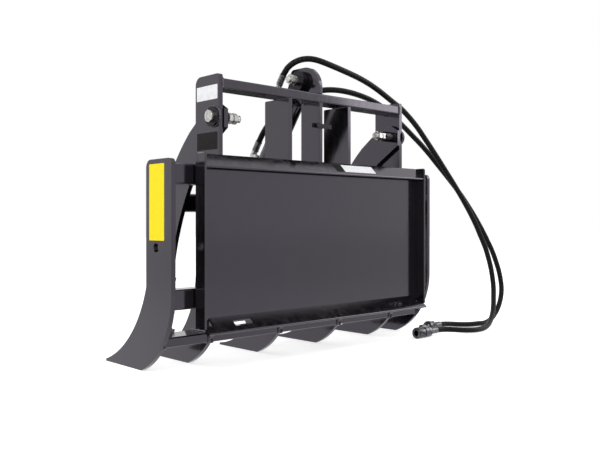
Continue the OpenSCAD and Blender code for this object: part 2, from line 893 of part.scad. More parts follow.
module cylinder_rod() {
    color(CHROME) place() along_cyl() difference() {
        union() {
            bar(piston_s - 3, piston_front, 10);
            bar(piston_front, rod_end_s + 4, rod_d / 2);
        }
        translate([cyl_l, 0, 0]) rotate([90, 0, 0])
            cylinder(r = eye_d / 2, h = 4 * eye_w, center = true);
    }
}

module piston() {
    groove = 8;
    middle = (piston_back + piston_front) / 2;
    color(DARK) place() along_cyl() difference() {
        pipe(piston_back, piston_front, bore_d / 2 - run_gap, 10);
        pipe(middle - groove / 2, middle + groove / 2, bore_d, bore_d / 2 - 3);
    }
}

module piston_seal() {
    middle = (piston_back + piston_front) / 2;
    color(RUBBER) place() along_cyl()
        pipe(middle - 3.9, middle + 3.9, bore_d / 2 - 0.02, bore_d / 2 - 3);
}

module piston_nut() {
    color(ZINC) place() along_cyl() difference() {
        translate([piston_s, 0, 0]) rotate([0, 90, 0]) cylinder(r = 19, h = nut_len, $fn = 6);
        bar(piston_s - 1, piston_back + 1, 10);
    }
}

module rod_eye() {
    color(PAINT) place() along_cyl() translate([cyl_l, 0, 0]) rotate([90, 0, 0]) difference() {
        cylinder(r = eye_d / 2, h = eye_w, center = true);
        cylinder(r = eye_hole_d / 2, h = eye_w + 2, center = true);
    }
}

// Hoses

function unit(v) = v / norm(v);

function way(p, i) = unit(p[min(i + 1, len(p) - 1)] - p[max(i - 1, 0)]);

// A direction across the hose, for the ring of points round it; no hose runs along Y
function across(t) = unit(cross(t, [0, 1, 0]));

module hose_run(p, first, last, sides = 10) {
    n = len(p);
    dirs = [for (i = [0 : n - 1]) i == 0 ? first : i == n - 1 ? last : way(p, i)];
    rings = [
        for (i = [0 : n - 1]) let (a = across(dirs[i]), b = cross(a, dirs[i]))
            for (k = [0 : sides - 1])
                p[i] + hose_d / 2 * (a * cos(360 * k / sides) + b * sin(360 * k / sides))
    ];
    walls = [
        for (i = [0 : n - 2], k = [0 : sides - 1]) let (j = (k + 1) % sides)
            each [
                [i * sides + k, i * sides + j, (i + 1) * sides + j],
                [i * sides + k, (i + 1) * sides + j, (i + 1) * sides + k],
            ]
    ];
    ends = [
        [for (k = [sides - 1 : -1 : 0]) k],
        [for (k = [0 : sides - 1]) (n - 1) * sides + k],
    ];
    color(RUBBER) place() polyhedron(rings, concat(walls, ends));
}

exit_way = [0, -cos(cyl_a), -sin(cyl_a)];
socket_way = [cos(socket_turn), sin(socket_turn), 0];
plug_way = [cos(plug_turn), sin(plug_turn), 0];
upper_join = unit(UPPER_TAIL[1] - UPPER_LEAD[len(UPPER_LEAD) - 2]);
lower_join = unit(LOWER_TAIL[1] - LOWER_LEAD[len(LOWER_LEAD) - 2]);

module hose_upper_lead() { hose_run(UPPER_LEAD, exit_way, upper_join); }

module hose_upper_tail() { hose_run(UPPER_TAIL, upper_join, socket_way); }

module hose_lower_lead() { hose_run(LOWER_LEAD, exit_way, lower_join); }

module hose_lower_tail() { hose_run(LOWER_TAIL, lower_join, plug_way); }

// Quick couplers, drawn along +X from the end of their hose
coupler_neck = 8;
coupler_s = ferrule_l + coupler_neck;
sleeve_l = coupler_l * 0.42;
probe_l = 26;
socket_depth = 30;

module at_coupler(at, turn) {
    translate(at) rotate([0, 0, turn]) children();
}

module coupler_ferrules() {
    color(ZINC) place() {
        at_coupler(socket_at, socket_turn) bar(0, ferrule_l, ferrule_d / 2);
        at_coupler(plug_at, plug_turn) bar(0, ferrule_l, ferrule_d / 2);
    }
}

module coupler_socket() {
    color(ZINC) place() at_coupler(socket_at, socket_turn) difference() {
        union() {
            translate([ferrule_l, 0, 0]) rotate([0, 90, 0])
                cylinder(r = 14, h = coupler_neck + 6, $fn = 6);
            bar(coupler_s, coupler_s + coupler_l, coupler_d / 2 - 3);
            bar(coupler_s, coupler_s + coupler_l - sleeve_l - 8, coupler_d / 2);
        }
        bar(coupler_s + coupler_l - socket_depth, coupler_s + coupler_l + 1, probe_d / 2 + run_gap);
    }
}

module coupler_sleeve() {
    s = coupler_s + coupler_l;
    color(ZINC) place() at_coupler(socket_at, socket_turn) difference() {
        pipe(s - sleeve_l - 2, s - 2, coupler_d / 2, coupler_d / 2 - 3 + run_gap);
        for (k = [1 : 3]) pipe(s - sleeve_l + k * 6, s - sleeve_l + k * 6 + 2, coupler_d, coupler_d / 2 - 1);
    }
}

module coupler_plug() {
    color(ZINC) place() at_coupler(plug_at, plug_turn) {
        translate([ferrule_l, 0, 0]) rotate([0, 90, 0]) cylinder(r = 16, h = 22, $fn = 6);
        bar(ferrule_l + 22, ferrule_l + 34, coupler_d / 2);
        bar(ferrule_l + 34, ferrule_l + 44, 13);
        bar(ferrule_l + 44, ferrule_l + 44 + probe_l, probe_d / 2);
    }
}

outer_tine_left();
outer_tine_right();
upright_left();
upright_right();
inner_tine_left();
inner_tine_right();
cylinder_tower();
top_rail();
cross_tube_top();
cross_tube_middle();
bottom_tube();
mounting_plate();
side_plate_left();
side_plate_right();
pivot_boss_left();
pivot_boss_right();
pivot_pin_left();
pivot_pin_right();
pivot_sleeve_left();
pivot_sleeve_right();
pivot_nuts();
tower_bush();
cylinder_pin();
cylinder_pin_nuts();
hose_guide();
hose_guide_bolt();
claw_arm_left();
claw_arm_right();
claw_bush_left();
claw_bush_right();
claw_tine_left();
claw_tine_right();
claw_tube();
rod_pin();
rod_pin_nuts();
rod_pin_spacers();
barrel();
barrel_clevis();
cylinder_gland();
rod_wiper();
port_bosses();
swivel_elbows();
hose_ferrules();
cylinder_rod();
piston();
piston_seal();
piston_nut();
rod_eye();
hose_upper_lead();
hose_upper_tail();
hose_lower_lead();
hose_lower_tail();
coupler_socket();
coupler_sleeve();
coupler_plug();
coupler_ferrules();
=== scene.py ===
"""Dresses the brush grapple: painted steel with rounded edges and weld beads, plated pins, a
chromed rod, two wrapped hoses with their couplers, bare labels, and the studio that it stands in.
Metres, in the frame of the packed model."""

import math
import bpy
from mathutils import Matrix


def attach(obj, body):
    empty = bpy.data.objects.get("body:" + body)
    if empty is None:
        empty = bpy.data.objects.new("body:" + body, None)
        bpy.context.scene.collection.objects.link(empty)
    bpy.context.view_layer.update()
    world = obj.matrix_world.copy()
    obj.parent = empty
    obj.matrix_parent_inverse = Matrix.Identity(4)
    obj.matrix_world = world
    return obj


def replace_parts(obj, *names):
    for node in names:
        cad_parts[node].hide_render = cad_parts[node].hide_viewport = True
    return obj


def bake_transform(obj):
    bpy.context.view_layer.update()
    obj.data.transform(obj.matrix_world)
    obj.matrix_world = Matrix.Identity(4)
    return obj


bl_info = {
    "name": "Brush Grapple Finish",
    "version": (1, 0, 0),
    "blender": (4, 5, 0),
    "location": "3D View > Sidebar > Grapple",
    "description": "Paint, plating, welds, hoses and labels for a brush grapple",
    "category": "Object",
}

import bmesh
import bpy
from bpy.props import (
    FloatProperty, FloatVectorProperty, IntProperty, PointerProperty, StringProperty,
)
from bpy.types import Operator, Panel, PropertyGroup
from mathutils import Vector

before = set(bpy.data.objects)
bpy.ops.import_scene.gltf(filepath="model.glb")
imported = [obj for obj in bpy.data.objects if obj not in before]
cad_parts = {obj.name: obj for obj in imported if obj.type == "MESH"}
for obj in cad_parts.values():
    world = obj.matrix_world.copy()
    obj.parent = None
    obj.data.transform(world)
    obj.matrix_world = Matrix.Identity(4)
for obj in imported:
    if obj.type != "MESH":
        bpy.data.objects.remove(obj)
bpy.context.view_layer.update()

MM = 0.001
SHIFT_Y = -170.8125  # mm from the mounting plate's rear face to the middle of the steel's depth


def at(x, y, z):
    """A point given in mm, with y from the mounting plate's rear face, in metres."""
    return Vector((x * MM, (y + SHIFT_Y) * MM, z * MM))


# The sizes below are in mm, and y is measured from the mounting plate's rear face

# Upright plates: their inner and outer faces, from the middle of the frame
OUTER_TINE_IN, OUTER_TINE_OUT = 496.3, 509
UPRIGHT_IN, UPRIGHT_OUT = 352.6, 365.3
INNER_TINE_IN, INNER_TINE_OUT = 112.45, 125.15
TOWER_FACE = 6.35
PLATE_T = 6.35  # mounting plate
PLATE_FACES = (
    -UPRIGHT_OUT, -UPRIGHT_IN, -INNER_TINE_OUT, -INNER_TINE_IN,
    INNER_TINE_IN, INNER_TINE_OUT, UPRIGHT_IN, UPRIGHT_OUT,
)
CLAW_FACES = (-338.65, -48.35, -35.65, 35.65, 48.35, 338.65)

# Tubes: rear edge, underside, depth, height and corner radius
CROSS_TUBES = [(12, 471, 50.8, 50.8, 5), (12, 162, 50.8, 50.8, 5), (50, 66, 76.2, 25.4, 4)]
TOP_RAIL = (7, 721, 63.5, 25.4, 4)
CLAW_TUBE = (205, 405, 50.8, 50.8, 7)

# Welds: the lengths stitched along the mounting plate, the run under and over the top rail, and the
# radii of the round pieces that have a bead round them
STITCHES = ((236, 300), (330, 394), (414, 460))
RAIL_UNDER, RAIL_OVER, RAIL_RUN = 721, 746.4, (12, 66)
PIVOT_BOSS_R = 26
PORT_BOSS_R = 13
ROD_R = 15.9
ROD_EYE_R = 25.4
BEAD_SIDES, BEAD_STEPS = 6, 32

# Radii on the edges of black, plated and turned pieces
BLACK_EDGE, PLATED_EDGE, TURNED_EDGE = 0.6, 0.7, 0.3

# Pins, as y and z, and the x where the thread on each stud starts and ends
PIVOT = (28, 648)
HEAD_PIN = (82, 791)
ROD_PIN = (357.3, 397.8)
PIVOT_STUDS = ((-283.5, -323), (257.5, 297))
HEAD_STUD = (-60, -26.5)
ROD_STUD = (-80, -51)
THREAD_PITCH, THREAD_CREST, THREAD_SIDES = 2, 1.1, 24
FRAME_THREAD_R, ROD_THREAD_R = 9.4, 8.4

# The cylinder, laid out from the pin in the tower head to the pin in the claw
CYL_WAY = (0.573546, -0.819173)
CYL_LENGTH = 479.996
BARREL_START = 68
BARREL_R = 31.75

# Ports: place along the cylinder, lean to the left, and from the port to the ferrule's mouth
REAR_PORT = (78, math.radians(25), 20 + 12)
FRONT_PORT = (294, math.radians(6), 4 + 12)
PORT_HIGH = 66
FERRULE = 34
CRIMPS, CRIMP_PITCH = 5, 5
HOSE_GAP, HOSE_STEP = 0.3, 5

# Labels on faces that look left: name, x, y from and to, z from and to, corner radius and finish
LEFT_LABELS = (
    ("reflective_tape", -OUTER_TINE_OUT, (35.5, 103), (332, 522), 3, "tape"),
    ("upright_label", -UPRIGHT_OUT, (12, 102), (693, 730), 2, "white_label"),
    ("upright_plate", -UPRIGHT_OUT, (12, 101), (564, 609), 2, "black_label"),
)

# The hook lip: its bend as y and z, how far it runs back and down, and its half thickness with play
LIP_BEND = (3.175, 545.8)
LIP_BACK, LIP_DOWN = 31, 30.8
LIP_FACE = 3.18

# The two labels on the lip start at x, below the bend, and have one depth: name, width and finish
LIP_LABEL_X, LIP_LABEL_BELOW, LIP_LABEL_DEEP, LIP_LABEL_R = 36, 6, 30, 1.5
LIP_LABELS = (("lip_label_black", 34, "black_label"), ("lip_label_white", 135, "white_label"))


def on_cylinder(s, high, aside):
    """A point s mm along the cylinder's axis, high mm above it, and aside mm to the right."""
    y = HEAD_PIN[0] + s * CYL_WAY[0] - high * CYL_WAY[1]
    return at(aside, y, HEAD_PIN[1] + s * CYL_WAY[1] + high * CYL_WAY[0])


def port_exit(port, gap=0.0):
    """Where a hose leaves its ferrule on the cylinder."""
    s, lean, reach = port
    along = s - reach - FERRULE - gap
    return on_cylinder(along, PORT_HIGH * math.cos(lean), -PORT_HIGH * math.sin(lean))


# Hose routes, the points of part.scad, in mm from the mounting plate's rear face; each starts at
# its port_exit
UPPER_HOSE = [
    (-22, 124.5, 835.5), (-10.5, 109.5, 850), (4, 96, 858.5), (21.5, 84.5, 862),
    (40, 76, 861.5), (60, 70.5, 858.5), (84, 67, 854), (108, 65, 849.5), (132, 63.5, 845),
    (156, 62.5, 840.5), (178, 62, 836.5), (225, 62.5, 827.5), (276, 65, 815.5),
    (320, 66, 801), (359, 67, 786), (395, 66, 770), (431, 62, 752),
    (468, 58, 727), (505, 54, 697), (541, 50, 662), (574, 45, 627), (606, 40, 592),
    (638, 35, 556), (669, 30, 521), (700, 25, 485), (732, 20, 446), (763, 15, 405),
    (794, 11, 361), (822, 8, 316), (845, 6, 279), (862, 4, 241), (875, 2, 203),
    (882, 0, 168), (882, -4, 134), (873, -10, 102), (855, -21, 72), (827, -35, 46),
    (790, -50, 26), (748, -65, 14), (703, -76, 9.5), (655, -79, 9.5), (612, -69, 11.5),
    (574, -50, 15), (541, -33, 17.5), (505, -25, 18),
]
LOWER_HOSE = [
    (-5, 261, 651), (-1, 243.5, 674), (5.5, 223.5, 696), (14.5, 202, 715.5),
    (26.5, 180.5, 732.5), (41.5, 160.5, 748), (60, 143, 762), (82, 129.5, 773.5),
    (107, 119.5, 781.5), (134, 112.5, 786.5), (168, 107, 789), (208, 104.5, 789),
    (250, 104.5, 786.5), (298, 107, 781.5),
    (341, 111, 775), (386, 114, 763.5), (430, 116, 746), (472, 115, 724),
    (512, 113, 701), (551, 109, 675), (590, 103, 647), (627, 96, 616), (660, 89, 585),
    (692, 81, 554), (724, 73, 522), (756, 65, 489), (786, 58, 456), (815, 51, 421),
    (842, 44, 385), (868, 37, 347), (892, 31, 310), (915, 25, 272), (933, 20, 233),
    (947, 15, 194), (954, 11, 158), (954, 7, 124), (944, 4, 92), (925, 1, 63),
    (899, -1, 38), (866, -3, 19), (828, -3, 9.5), (788, 1, 9.5), (748, 11, 9.5),
    (711, 25, 11.5), (680, 37, 14.5), (650, 44, 17), (618, 45, 18),
]


# The model's nodes by body: painted, black, plated, and turned with the slot of their material
PAINTED = {
    "frame": "outer_tine_left outer_tine_right upright_left upright_right inner_tine_left"
    " inner_tine_right cylinder_tower top_rail cross_tube_top cross_tube_middle bottom_tube"
    " mounting_plate side_plate_left side_plate_right",
    "claw": "claw_arm_left claw_arm_right claw_tine_left claw_tine_right claw_tube",
    "barrel": "barrel port_bosses",
    "rod": "rod_eye",
}
BLACK = {
    "frame": "pivot_boss_left pivot_boss_right pivot_sleeve_left pivot_sleeve_right hose_guide"
    " hose_guide_bolt",
    "claw": "rod_pin_spacers",
    "barrel": "barrel_clevis",
}
PLATED = {
    "frame": "pivot_pin_left pivot_pin_right pivot_nuts cylinder_pin cylinder_pin_nuts"
    " coupler_socket coupler_sleeve coupler_plug",
    "claw": "rod_pin rod_pin_nuts",
    "barrel": "swivel_elbows",
    "rod": "piston_nut",
}
TURNED = {
    "frame": (("tower_bush", "bronze"),),
    "claw": (("claw_bush_left", "bronze"), ("claw_bush_right", "bronze")),
    "barrel": (("cylinder_gland", "iron"), ("rod_wiper", "nitrile")),
    "rod": (("cylinder_rod", "chrome_rod"), ("piston", "iron"), ("piston_seal", "nitrile")),
}


# Studio, in metres. To the camera the floor glows by FLOOR_GLOW on top of the light it gets. Gloss
# paint mirrors a glow of it at WHITE near the object and FAR_WHITE further off, and behind at right
# a painted dark reflection at the third strength, which the camera never sees
SENSOR = 36  # mm
HORIZON = -0.00943  # the photo's horizon is 5.7 px above its middle
FLOOR_HALF, FLOOR_LOW = 12, -0.0005
FLOOR_GLOW = 0.62
WHITE, FAR_WHITE, PAINTED_DARK_REFLECTION = 1.0, 0.85, 0.05
# Lamps: name, place, height of the point that they face, width, height and watts
LAMPS = (
    ("key", (-2.6, -2.2, 2.8), 0.4, (2.4, 2.4), 70),
    ("side", (2.8, -1.6, 1.8), 0.4, (1.8, 1.8), 28),
    ("rim", (-0.8, 3.2, 2.4), 0.5, (2.4, 1.4), 40),
)


# Sizes and colours


class FinishSettings(PropertyGroup):
    """Colours of the steel and its plating."""

    paint: StringProperty(
        name="Paint", description="Powder coat on the steel", default="#0d0c0e"
    )
    black: StringProperty(
        name="Black", description="Paint on the sleeves, bosses and hose guide", default="#0e0d0f"
    )
    edge_round: FloatProperty(
        name="Edge Round", description="Radius on the edges of cut plate", default=1.1 * MM,
        unit="LENGTH",
    )
    gloss: FloatProperty(
        name="Gloss", description="Roughness of the powder coat", default=0.12, min=0.05, max=0.9,
        subtype="FACTOR",
    )


class WeldSettings(PropertyGroup):
    """Size of the weld beads."""

    width: FloatProperty(
        name="Bead Width", description="Width of a bead", default=7 * MM, unit="LENGTH"
    )
    pitch: FloatProperty(
        name="Ripple Pitch", description="From one ripple to the next", default=3.2 * MM,
        unit="LENGTH",
    )


class HoseSettings(PropertyGroup):
    """Size and cover of the hoses."""

    diameter: FloatProperty(
        name="Diameter", description="Outside diameter", default=18 * MM, unit="LENGTH"
    )
    wrap_pitch: FloatProperty(
        name="Wrap Pitch", description="From one turn of the wrap to the next", default=13 * MM,
        unit="LENGTH",
    )
    sides: IntProperty(name="Sides", description="Faces round a hose", default=24, min=8, max=64)
    cover: StringProperty(
        name="Cover", description="Colour of the rubber cover", default="#161517"
    )


class LabelSettings(PropertyGroup):
    """Tape and bare labels on the frame."""

    tape: StringProperty(
        name="Tape", description="Colour of the reflective tape", default="#efd600"
    )
    thickness: FloatProperty(
        name="Thickness", description="Thickness of a label", default=0.3 * MM, unit="LENGTH"
    )


class StudioSettings(PropertyGroup):
    """Camera and light."""

    lens: FloatProperty(
        name="Lens", description="Focal length of the camera, mm", default=44.42, min=10, max=200
    )
    turn: FloatProperty(
        name="Turn", description="Heading of the camera", default=math.radians(43.05),
        subtype="ANGLE",
    )
    stand: FloatVectorProperty(
        name="Stand", description="Place of the camera", default=(-1.4989, -1.6803, 0.3845),
        subtype="TRANSLATION", unit="LENGTH",
    )
    fill: FloatProperty(
        name="Fill", description="Level of the light from all round", default=0.78, min=0, max=3
    )


GROUPS = {
    "grapple_finish": FinishSettings,
    "grapple_weld": WeldSettings,
    "grapple_hose": HoseSettings,
    "grapple_label": LabelSettings,
    "grapple_studio": StudioSettings,
}


# Colour and node help


def linear(code):
    """An sRGB hex value as linear red, green, blue and alpha."""
    parts = [int(code[i : i + 2], 16) / 255 for i in (1, 3, 5)]
    return (*(c / 12.92 if c <= 0.04045 else ((c + 0.055) / 1.055) ** 2.4 for c in parts), 1.0)


def add(tree, kind, settings=None, links=None):
    """Adds a node with its settings, and gives its inputs a value or a link. A node that is given
    as an input links its first output. Inputs that share a name are given by number: on a Mix node
    0 is the factor, 2 and 3 are the numbers, and 6 and 7 the colours that it mixes."""
    node = tree.nodes.new(kind)
    for name, value in (settings or {}).items():
        setattr(node, name, value)
    for name, value in (links or {}).items():
        if isinstance(value, bpy.types.Node):
            value = value.outputs[0]
        if isinstance(value, bpy.types.NodeSocket):
            tree.links.new(value, node.inputs[name])
        else:
            node.inputs[name].default_value = value
    return node


def per(size_mm):
    """The scale at which the features of a texture are about size_mm across."""
    return 1 / (size_mm * MM)


def span(value, low, high, first=0.0, last=1.0):
    """What a Map Range node is given to run value, from first to last, between low and high."""
    return {"Value": value, "From Min": first, "From Max": last, "To Min": low, "To Max": high}


def finish_of(name, surface, *looks):
    """A new material whose shader is given what surface(tree, *looks) returns."""
    coat = bpy.data.materials.new(name)
    coat.use_nodes = True
    tree = coat.node_tree
    tree.nodes.clear()
    shader = add(tree, "ShaderNodeBsdfPrincipled", None, surface(tree, *looks))
    add(tree, "ShaderNodeOutputMaterial", None, {"Surface": shader})
    return coat


# Materials


def powder_coat(tree, colour, gloss, dust=0.5, shine=0.5):
    """Gloss powder coat, sprayed and baked: dark and even, with a slight orange peel that ripples
    its reflections, and a fine bloom of dust that dulls it in soft patches."""
    place = add(tree, "ShaderNodeTexCoord").outputs["Object"]
    patches = add(
        tree, "ShaderNodeTexNoise", None, {"Vector": place, "Scale": per(90), "Detail": 3}
    )
    bloom = add(tree, "ShaderNodeMapRange", None, span(patches, 0, 0.012 * dust, 0.42, 0.7))
    dull = add(
        tree, "ShaderNodeMix", {"data_type": "RGBA"},
        {0: bloom, 6: linear(colour), 7: linear("#8a867f")},
    )
    drawn = add(tree, "ShaderNodeMapping", None, {"Vector": place, "Scale": (1, 1, 0.3)})
    smear = add(
        tree, "ShaderNodeTexNoise", None, {"Vector": drawn, "Scale": per(14), "Detail": 3}
    )
    rough = span(smear, gloss - 0.04, gloss + 0.05, 0.3, 0.7)
    # Real orange peel is 1 to 2 mm across; 3 mm is the finest that still shows
    peel = add(tree, "ShaderNodeTexNoise", None, {"Vector": place, "Scale": per(3), "Detail": 1})
    return {
        "Base Color": dull.outputs[2], "IOR": 1.72, "Specular IOR Level": shine,
        "Specular Tint": linear("#f6eaff"),
        "Roughness": add(tree, "ShaderNodeMapRange", None, rough),
        "Normal": add(tree, "ShaderNodeBump", None, {"Height": peel, "Distance": 0.012 * MM}),
    }


def zinc_plate(tree, colour, rough=0.27, cloudy="#a9a8a4"):
    """Bright zinc plate on turned steel: a pale blue-grey metal whose fine turning lines spread its
    highlights."""
    place = add(tree, "ShaderNodeTexCoord").outputs["Object"]
    cloud = add(tree, "ShaderNodeTexNoise", None, {"Vector": place, "Scale": per(9), "Detail": 3})
    patch = add(tree, "ShaderNodeMapRange", None, span(cloud, 0, 1, 0.35, 0.65))
    tone = add(
        tree, "ShaderNodeMix", {"data_type": "RGBA"},
        {0: patch, 6: linear(cloudy), 7: linear(colour)},
    )
    wear = add(tree, "ShaderNodeTexNoise", None, {"Vector": place, "Scale": per(4), "Detail": 3})
    # Turning lines are near 0.2 mm apart; drawn at 0.8 mm so that they show
    drawn = add(tree, "ShaderNodeMapping", None, {"Vector": place, "Scale": (1, 0.15, 0.15)})
    lines = add(
        tree, "ShaderNodeTexNoise", None, {"Vector": drawn, "Scale": per(0.8), "Detail": 2}
    )
    turning = {"Height": lines, "Distance": 0.02 * MM, "Strength": 0.6}
    return {
        "Base Color": tone.outputs[2], "Metallic": 1.0,
        "Roughness": add(
            tree, "ShaderNodeMapRange", None, span(wear, rough - 0.08, rough + 0.12, 0.3, 0.7)
        ),
        "Normal": add(tree, "ShaderNodeBump", None, turning),
    }


def hard_chrome(tree):
    """Ground hard chrome on a cylinder rod: a mirror with faint rings from grinding and a film of
    oil."""
    place = add(tree, "ShaderNodeTexCoord").outputs["Object"]
    film = add(tree, "ShaderNodeTexNoise", None, {"Vector": place, "Scale": per(30), "Detail": 3})
    # Grinding leaves lines far under 0.1 mm apart; drawn at 0.7 mm so that they show
    rings = add(tree, "ShaderNodeTexNoise", None, {"Vector": place, "Scale": per(0.7), "Detail": 1})
    grinding = {"Height": rings, "Distance": 0.004 * MM, "Strength": 0.5}
    return {
        "Base Color": linear("#d9dadd"), "Metallic": 1.0,
        "Roughness": add(tree, "ShaderNodeMapRange", None, span(film, 0.06, 0.16, 0.35, 0.7)),
        "Normal": add(tree, "ShaderNodeBump", None, grinding),
    }


def hose_cover(tree, settings):
    """Rubber hose in a spiral wrap: each turn of the wrap stands proud, with a woven face, and
    painted shade darkens the grooves between turns, so that the crests read paler."""
    track = add(tree, "ShaderNodeUVMap", {"uv_map": "run"})
    split = add(tree, "ShaderNodeSeparateXYZ", None, {"Vector": track})
    along, round_it = split.outputs["X"], split.outputs["Y"]
    turns = add(
        tree, "ShaderNodeMath", {"operation": "DIVIDE"}, {0: along, 1: settings.wrap_pitch}
    )
    phase = add(tree, "ShaderNodeMath", {"operation": "ADD"}, {0: turns, 1: round_it})
    saw = add(tree, "ShaderNodeMath", {"operation": "FRACT"}, {0: phase})
    swell = add(tree, "ShaderNodeMath", {"operation": "PINGPONG"}, {0: saw, 1: 0.5})
    ridge = add(tree, "ShaderNodeMath", {"operation": "SMOOTH_MIN"}, {0: swell, 1: 0.16, 2: 0.12})
    # The yarns are near 1.5 mm wide; drawn at 2.2 mm, and 26 round the hose, so that they show
    yarns = add(tree, "ShaderNodeMath", {"operation": "MULTIPLY"}, {0: along, 1: per(2.2)})
    round_yarns = add(tree, "ShaderNodeMath", {"operation": "MULTIPLY"}, {0: round_it, 1: 26.0})
    strands = []
    for sign in ("ADD", "SUBTRACT"):
        lean = add(tree, "ShaderNodeMath", {"operation": sign}, {0: yarns, 1: round_yarns})
        angle = add(tree, "ShaderNodeMath", {"operation": "MULTIPLY"}, {0: lean, 1: math.pi})
        strands.append(add(tree, "ShaderNodeMath", {"operation": "SINE"}, {0: angle}))
    weave = add(tree, "ShaderNodeMath", {"operation": "MAXIMUM"}, dict(enumerate(strands)))
    wrap = {"Height": ridge, "Distance": 5.0 * MM, "Strength": 0.9}
    wrapped = add(tree, "ShaderNodeBump", None, wrap)
    woven = {"Height": weave, "Distance": 0.18 * MM, "Strength": 0.5, "Normal": wrapped}
    # Painted shade: the grooves between turns are coloured darker than the cover, which leaves the
    # crests paler
    crest = add(tree, "ShaderNodeMapRange", None, span(ridge, 0, 1, 0.05, 0.17))
    tone = add(
        tree, "ShaderNodeMix", {"data_type": "RGBA"},
        {0: crest, 6: linear("#060607"), 7: linear(settings.cover)},
    )
    return {
        "Base Color": tone.outputs[2], "IOR": 1.52, "Specular IOR Level": 0.1,
        "Roughness": add(tree, "ShaderNodeMapRange", None, span(crest, 0.6, 0.3)),
        "Normal": add(tree, "ShaderNodeBump", None, woven),
    }


def moulded_rubber(tree, colour):
    """Moulded seal rubber: smooth, black and a little oily."""
    place = add(tree, "ShaderNodeTexCoord").outputs["Object"]
    oil = add(tree, "ShaderNodeTexNoise", None, {"Vector": place, "Scale": per(3), "Detail": 2})
    return {
        "Base Color": linear(colour), "IOR": 1.52,
        "Roughness": add(tree, "ShaderNodeMapRange", None, span(oil, 0.38, 0.55, 0.3, 0.7)),
    }


def turned_metal(tree, low, high, rough):
    """Machined bronze or iron: fine turning lines and a slight tarnish in clouds."""
    place = add(tree, "ShaderNodeTexCoord").outputs["Object"]
    cloud = add(tree, "ShaderNodeTexNoise", None, {"Vector": place, "Scale": per(7), "Detail": 3})
    patch = add(tree, "ShaderNodeMapRange", None, span(cloud, 0, 1, 0.35, 0.65))
    tone = add(
        tree, "ShaderNodeMix", {"data_type": "RGBA"}, {0: patch, 6: linear(low), 7: linear(high)}
    )
    # Turning lines are near 0.2 mm apart; drawn at 1.2 mm so that they show
    drawn = add(tree, "ShaderNodeMapping", None, {"Vector": place, "Scale": (1, 0.2, 0.2)})
    lines = add(
        tree, "ShaderNodeTexNoise", None, {"Vector": drawn, "Scale": per(1.2), "Detail": 2}
    )
    return {
        "Base Color": tone.outputs[2], "Metallic": 1.0,
        "Roughness": add(
            tree, "ShaderNodeMapRange", None, span(lines, rough - 0.1, rough + 0.1, 0.3, 0.7)
        ),
    }


def reflective_tape(tree, colour):
    """Prismatic safety tape: clear film over sealed cells about 4 mm across, whose thin walls show
    as a paler net."""
    place = add(tree, "ShaderNodeTexCoord").outputs["Object"]
    cells = add(
        tree, "ShaderNodeTexVoronoi", {"feature": "DISTANCE_TO_EDGE"},
        {"Vector": place, "Scale": per(4), "Randomness": 0.25},
    )
    walls = span(cells.outputs["Distance"], 1, 0, 0.02, 0.10)
    net = add(tree, "ShaderNodeMapRange", None, walls)
    tone = add(
        tree, "ShaderNodeMix", {"data_type": "RGBA"},
        {0: net, 6: linear(colour), 7: linear("#f6e21c")},
    )
    pressed = {"Height": net, "Distance": 0.05 * MM, "Strength": 0.4}
    return {
        "Base Color": tone.outputs[2], "IOR": 1.49, "Specular IOR Level": 0.15,
        "Roughness": add(tree, "ShaderNodeMapRange", None, span(net, 0.3, 0.5)),
        "Normal": add(tree, "ShaderNodeBump", None, pressed),
    }


def vinyl_label(tree, low, high):
    """Printed vinyl with nothing on it: satin, with a faint mottle."""
    place = add(tree, "ShaderNodeTexCoord").outputs["Object"]
    cloud = add(tree, "ShaderNodeTexNoise", None, {"Vector": place, "Scale": per(12), "Detail": 4})
    patch = add(tree, "ShaderNodeMapRange", None, span(cloud, 0, 1, 0.35, 0.65))
    tone = add(
        tree, "ShaderNodeMix", {"data_type": "RGBA"}, {0: patch, 6: linear(low), 7: linear(high)}
    )
    grain = add(tree, "ShaderNodeTexNoise", None, {"Vector": place, "Scale": per(2.5), "Detail": 2})
    mottle = {"Height": grain, "Distance": 0.02 * MM, "Strength": 0.5}
    return {
        "Base Color": tone.outputs[2], "IOR": 1.5, "Roughness": 0.5, "Specular IOR Level": 0.12,
        "Normal": add(tree, "ShaderNodeBump", None, mottle),
    }


MATERIALS = {}


def material(name):
    """The material of one of the record's slots, or of a label, made once."""
    scene = bpy.context.scene
    finish = scene.grapple_finish
    makers = {
        "charcoal_paint": ("powder_coat_charcoal", powder_coat, finish.paint, finish.gloss),
        "black_steel": (
            "paint_black_satin", powder_coat, finish.black, finish.gloss + 0.14, 0.2, 0.14
        ),
        "zinc": ("zinc_plate_bright", zinc_plate, "#d3d3d0"),
        "ferrule": ("zinc_plate_crimped", zinc_plate, "#86848a", 0.34, "#5f5d62"),
        "coupler": ("zinc_nickel_dark", zinc_plate, "#6e6c70", 0.25, "#39383b"),
        "chrome_rod": ("hard_chrome_ground", hard_chrome),
        "hose": ("hose_spiral_wrap", hose_cover, scene.grapple_hose),
        "nitrile": ("nitrile_moulded", moulded_rubber, "#161517"),
        "bronze": ("bronze_turned", turned_metal, "#8d6a35", "#c29a55", 0.34),
        "iron": ("iron_machined", turned_metal, "#3a3a3c", "#58585a", 0.42),
        "tape": ("tape_prismatic_yellow", reflective_tape, scene.grapple_label.tape),
        "white_label": ("vinyl_white", vinyl_label, "#dedee1", "#e8e8ea"),
        "black_label": ("vinyl_black", vinyl_label, "#0d0c0e", "#151416"),
    }
    if name not in MATERIALS:
        MATERIALS[name] = finish_of(*makers[name])
    return MATERIALS[name]


# Mesh help


def new_piece(name, mesh, slot, smooth=True, finish=None):
    """A piece from a mesh, with the finish of a slot."""
    if smooth:
        mesh.shade_smooth()
    mesh.materials.clear()
    mesh.materials.append(material(finish or slot))
    piece = bpy.data.objects.new(name, mesh)
    bpy.context.scene.collection.objects.link(piece)
    return piece


